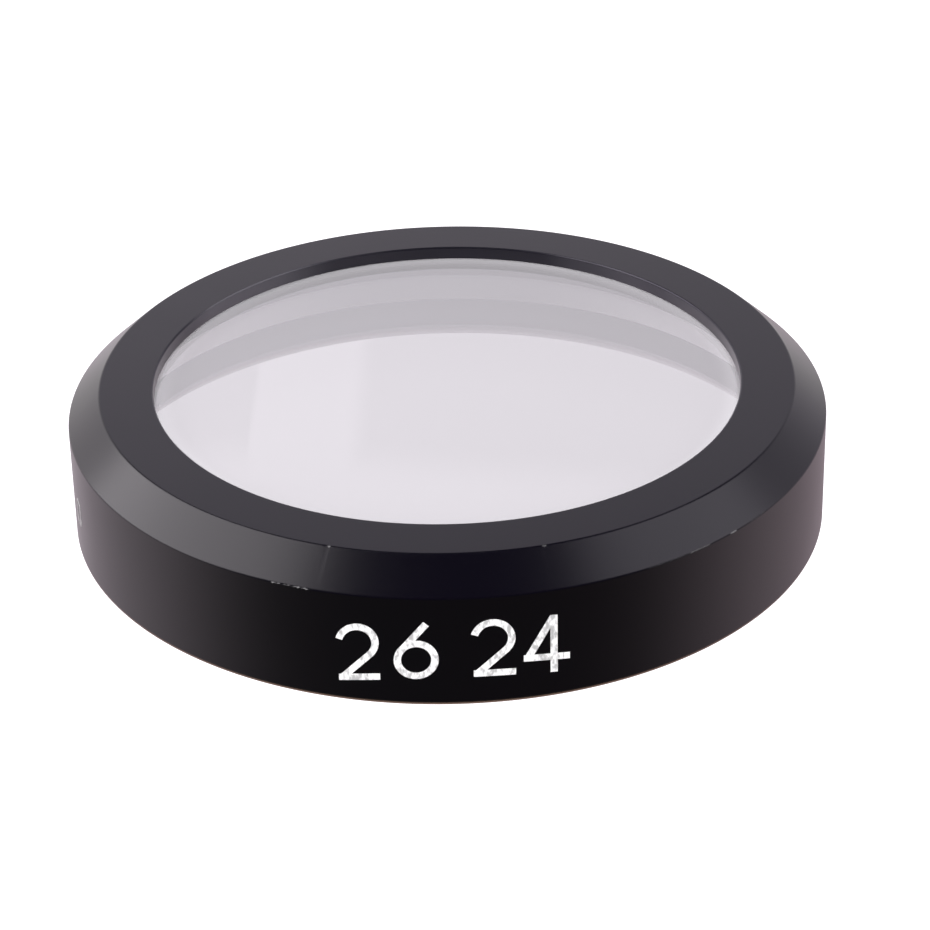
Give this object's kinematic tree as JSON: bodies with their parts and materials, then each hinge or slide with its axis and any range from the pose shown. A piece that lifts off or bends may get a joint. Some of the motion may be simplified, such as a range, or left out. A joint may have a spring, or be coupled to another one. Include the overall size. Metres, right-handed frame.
{
  "type": "uv lens filter",
  "caption": "Round push-on lens filter: a black turned ring with a sloping front bezel, a clear glass sunk in its window and a smooth stepped bore behind that slides over a lens barrel.",
  "frame": {"origin": "centre of the rear rim, on the optical axis, in the plane that the ring rests on", "axes": "+Z is the optical axis, from the lens towards the front glass; +X and +Y are across the ring, which is round"},
  "size_m": [0.026, 0.026, 0.0049],
  "materials": {
    "black_anodised_ring": "satin black anodised, fine turned grain",
    "clear_filter_glass": "polished, clear, coated, ground edge",
    "black_keeper": "matt black anodised"
  },
  "bodies": {
    "root": {"frame": "black_anodised_ring", "glass": "clear_filter_glass", "keeper_ring": "black_keeper"}
  },
  "joints": []
}
